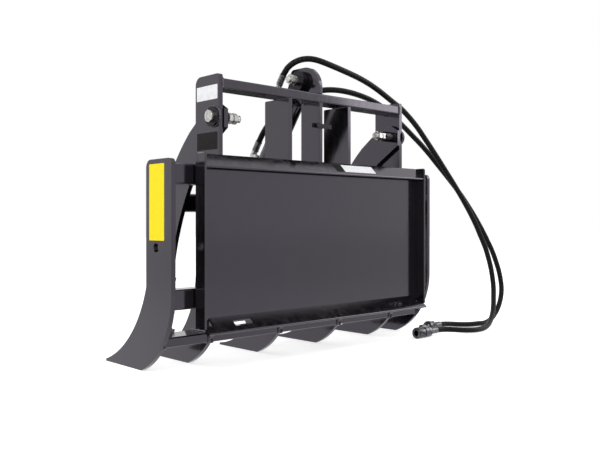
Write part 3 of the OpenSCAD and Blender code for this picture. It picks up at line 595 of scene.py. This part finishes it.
def mesh_of(name, points, faces, edges=()):
    """A mesh from points and faces, with its faces turned outwards where it is closed."""
    mesh = bpy.data.meshes.new(name)
    mesh.from_pydata([tuple(p) for p in points], list(edges), faces)
    mesh.validate()
    if faces:
        shape = bmesh.new()
        shape.from_mesh(mesh)
        bmesh.ops.recalc_face_normals(shape, faces=shape.faces)
        shape.to_mesh(mesh)
        shape.free()
    return mesh


def settled(piece):
    """Applies a piece's modifiers and leaves a plain mesh."""
    graph = bpy.context.evaluated_depsgraph_get()
    mesh = bpy.data.meshes.new_from_object(piece.evaluated_get(graph))
    piece.modifiers.clear()
    old, piece.data = piece.data, mesh
    bpy.data.meshes.remove(old)
    return piece


def dressed(node, body, slot, radius, finish=None):
    """A copy of a CAD node as one skin, with rounded edges and smooth curves, that stands for the
    node."""
    nearly_flat, edge = math.radians(0.6), math.radians(32)
    shape = bmesh.new()
    shape.from_mesh(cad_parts[node].data)
    # Loose triangles become one skin, and each flat face one polygon, so that only real edges round
    bmesh.ops.remove_doubles(shape, verts=shape.verts, dist=0.002 * MM)
    bmesh.ops.dissolve_degenerate(shape, edges=shape.edges, dist=0.001 * MM)
    bmesh.ops.dissolve_limit(
        shape, angle_limit=nearly_flat, verts=shape.verts, edges=shape.edges
    )
    mesh = bpy.data.meshes.new(node + "_skin")
    shape.to_mesh(mesh)
    shape.free()
    piece = new_piece(node + "_skin", mesh, slot, finish=finish)
    bevel = piece.modifiers.new("edge", "BEVEL")
    bevel.width, bevel.segments, bevel.limit_method = radius, 2, "ANGLE"
    bevel.angle_limit, bevel.use_clamp_overlap = edge, True
    flat = piece.modifiers.new("flat faces stay flat", "WEIGHTED_NORMAL")
    flat.mode, flat.weight, flat.keep_sharp = "FACE_AREA", 100, False
    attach(settled(piece), body)
    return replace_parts(piece, node)


def circle(count):
    """Angles round a circle that starts and ends at one point, with count steps."""
    return [math.tau * k / count for k in range(count + 1)]


def turned(profile, start, way, sides=48):
    """A closed mesh turned about the line from start along way; profile is (s, r) in mm."""
    way = Vector(way).normalized()
    side = way.cross(Vector((0, 0, 1)) if abs(way.z) < 0.9 else Vector((1, 0, 0))).normalized()
    other = way.cross(side)
    points = [
        start + (way * s + (side * math.cos(angle) + other * math.sin(angle)) * r) * MM
        for s, r in profile
        for angle in circle(sides)[:-1]
    ]
    faces = []
    for i in range(len(profile) - 1):
        for k in range(sides):
            a, b = i * sides + k, i * sides + (k + 1) % sides
            faces.append((a, b, b + sides, a + sides))
    faces.append(tuple(range(sides))[::-1])
    faces.append(tuple(range((len(profile) - 1) * sides, len(profile) * sides)))
    return points, faces


def joined(parts):
    """Several lists of points and faces as one."""
    points, faces = [], []
    for more_points, more_faces in parts:
        base = len(points)
        points += more_points
        faces += [tuple(i + base for i in face) for face in more_faces]
    return points, faces


# Hoses


def smooth_route(points, step):
    """A smooth line through points, sampled every step metres."""
    route, ends = [], [points[0] * 2 - points[1], *points, points[-1] * 2 - points[-2]]
    for i in range(1, len(ends) - 2):
        a, b, c, d = ends[i - 1 : i + 3]
        count = max(2, round((c - b).length / step))
        for k in range(count):
            t = k / count
            steady, swing = 2 * a - 5 * b + 4 * c - d, 3 * b - a - 3 * c + d
            route.append(0.5 * (2 * b + (c - a) * t + steady * t * t + swing * t**3))
    return [*route, points[-1]]


def hose_mesh(name, route, radius, sides):
    """A tube along route with a UV map in metres along it and turns round it."""
    last = len(route) - 1
    ways = [(route[min(i + 1, last)] - route[max(i - 1, 0)]).normalized() for i in range(last + 1)]
    side = ways[0].cross(Vector((1, 0, 0))).normalized()
    points, far, total = [], [], 0.0
    for i, (point, way) in enumerate(zip(route, ways)):
        side = (side - way * side.dot(way)).normalized()
        other = way.cross(side)
        total += (point - route[i - 1]).length if i else 0.0
        far.append(total)
        for angle in circle(sides)[:-1]:
            points.append(point + (side * math.cos(angle) + other * math.sin(angle)) * radius)
    faces = []
    for low in range(0, last * sides, sides):
        for k in range(sides):
            after = (k + 1) % sides
            faces.append((low + k, low + sides + k, low + sides + after, low + after))
    faces += [tuple(range(sides)), tuple(range(last * sides, (last + 1) * sides))[::-1]]
    mesh = mesh_of(name, points, faces)
    run = mesh.uv_layers.new(name="run")
    for face in mesh.polygons:
        spokes = [mesh.loops[i].vertex_index % sides for i in face.loop_indices]
        crosses_seam = len(face.vertices) == 4 and 0 in spokes and sides - 1 in spokes
        for i in face.loop_indices:
            row, spoke = divmod(mesh.loops[i].vertex_index, sides)
            run.data[i].uv = (far[row], 1.0 if crosses_seam and spoke == 0 else spoke / sides)
    return mesh, total


def crimped_ferrule(start, way):
    """A crimped ferrule: pressed rings with a rolled lip at the hose end."""
    full, shoulder, pressed = 10.9, 10.5, 9.7
    profile = [(0, 9.4), (0, 10.3), (1.5, full), (3, full)]
    for k in range(1, CRIMPS + 1):
        s = k * CRIMP_PITCH
        profile += [(s, shoulder), (s + 0.6, pressed), (s + 2.4, pressed), (s + 3, shoulder)]
    profile += [(FERRULE - 3, full), (FERRULE - 1, full), (FERRULE, 10.2), (FERRULE, 8.5)]
    return turned(profile, start, way)


class GRAPPLE_OT_hoses(Operator):
    """Makes the two hoses and their crimped ferrules."""

    bl_idname = "grapple.hoses"
    bl_label = "Hoses"

    def crimp(self, name, shape, body, node):
        """A piece of crimped ferrules that stands for a node."""
        piece = new_piece(name, mesh_of(name, *shape), "zinc", finish="ferrule")
        piece.data.set_sharp_from_angle(angle=math.radians(40))
        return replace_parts(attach(piece, body), node)

    def execute(self, context):
        size = context.scene.grapple_hose
        on_from_head = Vector((0, *CYL_WAY))
        hoses = (
            ("upper", REAR_PORT, UPPER_HOSE, ["coupler_socket", "coupler_sleeve"]),
            ("lower", FRONT_PORT, LOWER_HOSE, ["coupler_plug"]),
        )
        crimps = [crimped_ferrule(port_exit(port), on_from_head) for _, port, _, _ in hoses]
        self.crimp("ferrules_on_cylinder", joined(crimps), "barrel", "hose_ferrules")
        for name, port, points, fittings in hoses:
            end = crimped_ferrule(at(*points[-1]), (-1, 0, 0))
            ferrule = self.crimp(f"ferrule_{name}", end, "frame", "coupler_ferrules")
            knots = [port_exit(port, HOSE_GAP), *(at(*p) for p in points)]
            route = smooth_route(knots, HOSE_STEP * MM)
            mesh, length = hose_mesh(f"hose_{name}", route, size.diameter / 2, size.sides)
            hose = new_piece(f"hose_{name}", mesh, "hose")
            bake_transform(hose)
            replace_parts(hose, f"hose_{name}_lead", f"hose_{name}_tail")
        return {"FINISHED"}


# Steel and hardware


class GRAPPLE_OT_steel(Operator):
    """Gives every steel plate and tube rounded edges and powder coat."""

    bl_idname = "grapple.steel"
    bl_label = "Painted Steel"

    def execute(self, context):
        radius = context.scene.grapple_finish.edge_round
        for body, nodes in PAINTED.items():
            for node in nodes.split():
                dressed(node, body, "charcoal_paint", radius)
        for body, nodes in BLACK.items():
            for node in nodes.split():
                dressed(node, body, "black_steel", BLACK_EDGE * MM)
        return {"FINISHED"}


class GRAPPLE_OT_hardware(Operator):
    """Plates the pins, nuts and couplers, and finishes the bushes, the gland and the rod."""

    bl_idname = "grapple.hardware"
    bl_label = "Pins and Cylinder"

    def execute(self, context):
        for body, nodes in PLATED.items():
            for node in nodes.split():
                finish = "coupler" if node.startswith("coupler") else None
                dressed(node, body, "zinc", PLATED_EDGE * MM, finish)
        for body, rows in TURNED.items():
            for node, slot in rows:
                dressed(node, body, slot, TURNED_EDGE * MM)
        return {"FINISHED"}


# Welds and threads


def ripple_tree():
    """Lays overlapping ripples along every line of a mesh, which makes a weld bead; flat ones make
    a thread."""
    tree = bpy.data.node_groups.new("ripples_along_lines", "GeometryNodeTree")
    for name, kind in (
        ("Geometry", "NodeSocketGeometry"), ("Pitch", "NodeSocketFloat"),
        ("Size", "NodeSocketVector"), ("Sides", "NodeSocketInt"),
        ("Material", "NodeSocketMaterial"),
    ):
        tree.interface.new_socket(name, in_out="INPUT", socket_type=kind)
    tree.interface.new_socket("Geometry", in_out="OUTPUT", socket_type="NodeSocketGeometry")
    given = add(tree, "NodeGroupInput").outputs
    line = add(tree, "GeometryNodeMeshToCurve", None, {"Mesh": given["Geometry"]})
    spaced = add(
        tree, "GeometryNodeResampleCurve", {"mode": "LENGTH"},
        {"Curve": line, "Length": given["Pitch"]},
    )
    ball = add(
        tree, "GeometryNodeMeshUVSphere", None,
        {"Segments": given["Sides"], "Rings": 4, "Radius": 1.0},
    )
    tangent = add(tree, "GeometryNodeInputTangent")
    facing = add(tree, "FunctionNodeAlignRotationToVector", {"axis": "Z"}, {"Vector": tangent})
    wobble = add(
        tree, "FunctionNodeRandomValue", {"data_type": "FLOAT"}, {2: 0.9, 3: 1.1, "Seed": 7}
    )
    scaled = add(
        tree, "ShaderNodeVectorMath", {"operation": "SCALE"},
        {0: given["Size"], "Scale": wobble.outputs[1]},
    )
    ripples = add(
        tree, "GeometryNodeInstanceOnPoints", None,
        {"Points": spaced, "Instance": ball, "Rotation": facing, "Scale": scaled},
    )
    real = add(tree, "GeometryNodeRealizeInstances", None, {"Geometry": ripples})
    soft = add(tree, "GeometryNodeSetShadeSmooth", None, {"Geometry": real})
    coated = add(
        tree, "GeometryNodeSetMaterial", None, {"Geometry": soft, "Material": given["Material"]}
    )
    add(tree, "NodeGroupOutput", None, {"Geometry": coated})
    return tree


def rippled(name, lines, body, slot, pitch, size, sides):
    """One piece of ripples along lines of points, riding on a body."""
    tree = bpy.data.node_groups.get("ripples_along_lines") or ripple_tree()
    points, edges = [], []
    for line in lines:
        edges += [(len(points) + i, len(points) + i + 1) for i in range(len(line) - 1)]
        points += line
    piece = bpy.data.objects.new(name, mesh_of(name, points, [], edges))
    bpy.context.scene.collection.objects.link(piece)
    modifier = piece.modifiers.new("ripples", "NODES")
    modifier.node_group = tree
    values = {"Pitch": pitch, "Size": size, "Sides": sides, "Material": material(slot)}
    for item in tree.interface.items_tree:
        if item.in_out == "INPUT" and item.name in values:
            modifier[item.identifier] = values[item.name]
    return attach(settled(piece), body)


def tube_loop(tube, x, grow=0.4):
    """The outline of a tube where it meets a plate at x."""
    y, z, depth, height, corner = tube
    front, rear, top, foot = y + depth - corner, y + corner, z + height - corner, z + corner
    radius, loop = corner + grow, []
    for cy, cz, start in ((front, top, 0), (rear, top, 90), (rear, foot, 180), (front, foot, 270)):
        for k in range(5):
            angle = math.radians(start + k * 22.5)
            loop.append(at(x, cy + radius * math.cos(angle), cz + radius * math.sin(angle)))
    return [*loop, loop[0]]


def ring(centre, first, second, radius):
    """A circle of points; first and second span its plane, radius in mm."""
    return [
        centre + (first * math.cos(angle) + second * math.sin(angle)) * radius * MM
        for angle in circle(40)
    ]


def saddle(s, lean):
    """The line where a port's boss, which leans to the left, meets the barrel."""
    line = []
    for angle in circle(BEAD_STEPS):
        aside = PORT_BOSS_R * math.sin(angle)
        high = math.sqrt(BARREL_R**2 - aside**2)
        line.append(
            on_cylinder(
                s + PORT_BOSS_R * math.cos(angle),
                high * math.cos(lean) + aside * math.sin(lean),
                aside * math.cos(lean) - high * math.sin(lean),
            )
        )
    return line


class GRAPPLE_OT_welds(Operator):
    """Lays a weld bead wherever tubes, plates and bosses meet."""

    bl_idname = "grapple.welds"
    bl_label = "Welds"

    def execute(self, context):
        size = context.scene.grapple_weld
        ahead, up, across = Vector((0, 1, 0)), Vector((0, 0, 1)), Vector((1, 0, 0))
        ends = (*PLATE_FACES, -OUTER_TINE_IN, OUTER_TINE_IN)
        frame_lines = [tube_loop(tube, x) for tube in CROSS_TUBES for x in ends]
        frame_lines += [tube_loop(TOP_RAIL, x) for x in (-UPRIGHT_IN, UPRIGHT_IN)]
        frame_lines += [
            ring(at(x, *PIVOT), ahead, up, PIVOT_BOSS_R) for x in (-UPRIGHT_OUT, UPRIGHT_OUT)
        ]
        for x in PLATE_FACES:
            frame_lines += [[at(x, PLATE_T, low), at(x, PLATE_T, high)] for low, high in STITCHES]
        seats = [(x, RAIL_UNDER) for x in PLATE_FACES if abs(x) <= INNER_TINE_OUT]
        for x in (-TOWER_FACE, TOWER_FACE):
            seats += [(x, RAIL_OVER), (x, RAIL_UNDER)]
        frame_lines += [[at(x, y, z) for y in RAIL_RUN] for x, z in seats]

        claw_lines = [tube_loop(CLAW_TUBE, x) for x in CLAW_FACES]
        high_way = on_cylinder(0, 1 / MM, 0) - on_cylinder(0, 0, 0)
        barrel_lines = [ring(on_cylinder(BARREL_START, 0, 0), high_way, across, BARREL_R)]
        barrel_lines += [saddle(s, lean) for s, lean, _ in (REAR_PORT, FRONT_PORT)]
        rod_line = []
        for angle in circle(BEAD_STEPS):
            high = ROD_R * math.sin(angle)
            s = CYL_LENGTH - math.sqrt(ROD_EYE_R**2 - high**2)
            rod_line.append(on_cylinder(s, high, ROD_R * math.cos(angle)))

        wide, pitch = size.width / 2, size.pitch
        bead, fine = (wide, wide, pitch * 1.25), (wide * 0.7, wide * 0.7, pitch)
        for name, lines, body, step, ripple in (
            ("welds_on_frame", frame_lines, "frame", pitch, bead),
            ("welds_on_claw", claw_lines, "claw", pitch, bead),
            ("welds_on_barrel", barrel_lines, "barrel", pitch * 0.8, fine),
            ("welds_on_rod", [rod_line], "rod", pitch * 0.8, fine),
        ):
            rippled(name, lines, body, "charcoal_paint", step, ripple, BEAD_SIDES)
        return {"FINISHED"}


class GRAPPLE_OT_threads(Operator):
    """Cuts threads on the studs of the pins."""

    bl_idname = "grapple.threads"
    bl_label = "Threads"

    def execute(self, context):
        frame_studs = [[at(x, *PIVOT) for x in stud] for stud in PIVOT_STUDS]
        frame_studs.append([at(x, *HEAD_PIN) for x in HEAD_STUD])
        rod_stud = [at(x, *ROD_PIN) for x in ROD_STUD]
        for name, studs, body, radius in (
            ("threads_on_frame_pins", frame_studs, "frame", FRAME_THREAD_R),
            ("threads_on_rod_pin", [rod_stud], "claw", ROD_THREAD_R),
        ):
            crest = (radius * MM, radius * MM, THREAD_CREST * MM)
            rippled(name, studs, body, "zinc", THREAD_PITCH * MM, crest, THREAD_SIDES)
        return {"FINISHED"}


# Labels


def label(name, corners, out, round_mm, finish, thickness):
    """A thin rounded sheet on a flat face: corners are three corners of it, out points away from
    the face."""
    start, along_end, up_end = corners
    along, up = along_end - start, up_end - start
    wide, high = along.length, up.length
    along, up, out = along.normalized(), up.normalized(), Vector(out).normalized()
    r = round_mm * MM
    rim = []
    for cx, cy, turn in (
        (wide - r, high - r, 0), (r, high - r, 90), (r, r, 180), (wide - r, r, 270),
    ):
        for k in range(7):
            angle = math.radians(turn + k * 15)
            rim.append(
                start + along * (cx + r * math.cos(angle)) + up * (cy + r * math.sin(angle))
            )
    count = len(rim)
    pressed_in = 0.05 * MM
    points = [p - out * pressed_in for p in rim] + [p + out * thickness for p in rim]
    faces = [tuple(range(count))[::-1], tuple(range(count, 2 * count))]
    faces += [(k, (k + 1) % count, (k + 1) % count + count, k + count) for k in range(count)]
    mesh = mesh_of(name, points, faces)
    piece = new_piece(name, mesh, "charcoal_paint", smooth=False, finish=finish)
    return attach(piece, "frame")


class GRAPPLE_OT_labels(Operator):
    """Sticks on the reflective tape and the bare labels."""

    bl_idname = "grapple.labels"
    bl_label = "Tape and Labels"

    def execute(self, context):
        thick = context.scene.grapple_label.thickness
        for name, x, (near, far), (low, high), corner, finish in LEFT_LABELS:
            corners = (at(x, near, low), at(x, far, low), at(x, near, high))
            label(name, corners, (-1, 0, 0), corner, finish, thick)
        down = Vector((0, -LIP_BACK, -LIP_DOWN)).normalized()
        out = Vector((0, -LIP_DOWN, LIP_BACK)).normalized()
        top = at(LIP_LABEL_X, *LIP_BEND) + out * LIP_FACE * MM + down * LIP_LABEL_BELOW * MM
        foot = top + down * LIP_LABEL_DEEP * MM
        for name, wide, finish in LIP_LABELS:
            along = Vector((wide * MM, 0, 0))
            label(name, (foot, foot + along, top), out, LIP_LABEL_R, finish, thick)
            foot, top = foot + along, top + along
        return {"FINISHED"}


# Studio


def soft_lamp(name, place, target, size, power):
    """A rectangular soft lamp that points at target."""
    lamp = bpy.data.lights.new(name, "AREA")
    lamp.shape, lamp.size, lamp.size_y, lamp.energy = "RECTANGLE", size[0], size[1], power
    piece = bpy.data.objects.new(name, lamp)
    piece.location = place
    piece.rotation_euler = (Vector(target) - Vector(place)).to_track_quat("-Z", "Y").to_euler()
    bpy.context.scene.collection.objects.link(piece)


def seen_level(tree, lit, seen, mirrored):
    """A strength for the light that reaches surfaces, for what the camera sees, and for what paint
    mirrors and glass lets through."""
    rays = add(tree, "ShaderNodeLightPath").outputs
    through = add(
        tree, "ShaderNodeMath", {"operation": "MAXIMUM"},
        {0: rays["Is Glossy Ray"], 1: rays["Is Transmission Ray"]},
    )
    level = add(tree, "ShaderNodeMapRange", None, span(rays["Is Camera Ray"], lit, seen))
    return add(tree, "ShaderNodeMix", None, {0: through, 2: level, 3: mirrored}).outputs[0]


def white_paper():
    """White paper that the object stands on. The camera sees it white with a soft shadow. Gloss
    paint
    mirrors a glow in place of its lit face: white near the object, a little dimmer further off, and
    a painted dark reflection behind on the right that the camera never sees, which keeps the
    undersides of the rail and the lip black."""
    paper = bpy.data.materials.new("paper_white")
    paper.use_nodes = True
    tree = paper.node_tree
    tree.nodes.clear()
    white = linear("#ffffff")
    sheet = add(tree, "ShaderNodeBsdfDiffuse", None, {"Color": linear("#e6e6e6")})
    level = seen_level(tree, 0.0, FLOOR_GLOW, 0.0)
    glow = add(tree, "ShaderNodeEmission", None, {"Color": white, "Strength": level})
    both = add(tree, "ShaderNodeAddShader", None, {0: sheet, 1: glow})

    place = add(tree, "ShaderNodeTexCoord").outputs["Object"]
    far = add(tree, "ShaderNodeVectorMath", {"operation": "LENGTH"}, {0: place})
    dimmer = span(far.outputs["Value"], WHITE, FAR_WHITE, 1.0, 3.0)
    pool = add(tree, "ShaderNodeMapRange", None, dimmer)
    side = add(tree, "ShaderNodeSeparateXYZ", None, {0: place}).outputs
    # Painted dark reflection: behind at right gloss rays see the floor dark, though the camera sees
    # it white and it shades nothing
    dark_reflection_across = add(tree, "ShaderNodeMapRange", None, span(side["X"], 0.0, 1.0, 0.3, 1.3))
    dark_reflection_behind = add(tree, "ShaderNodeMapRange", None, span(side["Y"], 0.0, 1.0, 1.2, 2.2))
    dark_reflection_mask = add(tree, "ShaderNodeMath", {"operation": "MULTIPLY"}, {0: dark_reflection_across, 1: dark_reflection_behind})
    fall = add(tree, "ShaderNodeMix", None, {0: dark_reflection_mask, 2: pool, 3: PAINTED_DARK_REFLECTION})
    mirrored = add(tree, "ShaderNodeEmission", None, {"Color": white, "Strength": fall})
    glossy = add(tree, "ShaderNodeLightPath").outputs["Is Glossy Ray"]
    face = add(tree, "ShaderNodeMixShader", None, {0: glossy, 1: both, 2: mirrored})
    add(tree, "ShaderNodeOutputMaterial", None, {"Surface": face})
    return paper


class GRAPPLE_OT_studio(Operator):
    """Sets up the pale floor, the soft lamps and the camera."""

    bl_idname = "grapple.studio"
    bl_label = "Studio"

    def execute(self, context):
        scene, size = context.scene, context.scene.grapple_studio
        scene.view_settings.view_transform = "Standard"
        camera = bpy.data.objects.new("camera", bpy.data.cameras.new("camera"))
        camera.data.lens, camera.data.sensor_width = size.lens, SENSOR
        camera.data.shift_y = HORIZON
        camera.location = size.stand
        ahead = Vector((math.sin(size.turn), math.cos(size.turn), 0))
        camera.rotation_euler = ahead.to_track_quat("-Z", "Y").to_euler()
        scene.collection.objects.link(camera)
        scene.camera = camera

        world = bpy.data.worlds.new("studio")
        scene.world = world
        world.use_nodes = True
        tree = world.node_tree
        tree.nodes.clear()
        level = seen_level(tree, size.fill, WHITE, WHITE)
        sky = {"Color": linear("#ffffff"), "Strength": level}
        background = add(tree, "ShaderNodeBackground", None, sky)
        add(tree, "ShaderNodeOutputWorld", None, {"Surface": background})

        half = FLOOR_HALF
        corners = [(-half, -half, 0), (half, -half, 0), (half, half, 0), (-half, half, 0)]
        floor = bpy.data.objects.new("floor", mesh_of("floor", corners, [(0, 1, 2, 3)]))
        floor.location = (0, 0, FLOOR_LOW)
        floor.data.materials.append(white_paper())
        scene.collection.objects.link(floor)

        for name, place, aim, lamp_size, power in LAMPS:
            soft_lamp(name, place, (0, 0, aim), lamp_size, power)
        return {"FINISHED"}


class GRAPPLE_PT_panel(Panel):
    """Lists the sizes and the steps of the finish."""

    bl_label = "Brush Grapple"
    bl_idname = "GRAPPLE_PT_panel"
    bl_space_type = "VIEW_3D"
    bl_region_type = "UI"
    bl_category = "Grapple"

    def draw(self, context):
        for name, group in GROUPS.items():
            box = self.layout.box()
            box.label(text=group.__doc__)
            for prop in group.__annotations__:
                box.prop(getattr(context.scene, name), prop)
        for step in STEPS:
            self.layout.operator(step.bl_idname)


STEPS = (
    GRAPPLE_OT_studio,
    GRAPPLE_OT_hardware,
    GRAPPLE_OT_hoses,
    GRAPPLE_OT_steel,
    GRAPPLE_OT_welds,
    GRAPPLE_OT_threads,
    GRAPPLE_OT_labels,
)


def register():
    """Registers the classes and puts their settings on the scene."""
    for group in GROUPS.values():
        bpy.utils.register_class(group)
    for name, group in GROUPS.items():
        setattr(bpy.types.Scene, name, PointerProperty(type=group))
    for step in (*STEPS, GRAPPLE_PT_panel):
        bpy.utils.register_class(step)


def unregister():
    """Takes the settings and the classes away again."""
    for step in reversed((*STEPS, GRAPPLE_PT_panel)):
        bpy.utils.unregister_class(step)
    for name, group in GROUPS.items():
        delattr(bpy.types.Scene, name)
        bpy.utils.unregister_class(group)


def main():
    """Runs every step."""
    register()
    for step in STEPS:
        area, name = step.bl_idname.split(".")
        getattr(getattr(bpy.ops, area), name)()


if __name__ == "__main__":
    main()
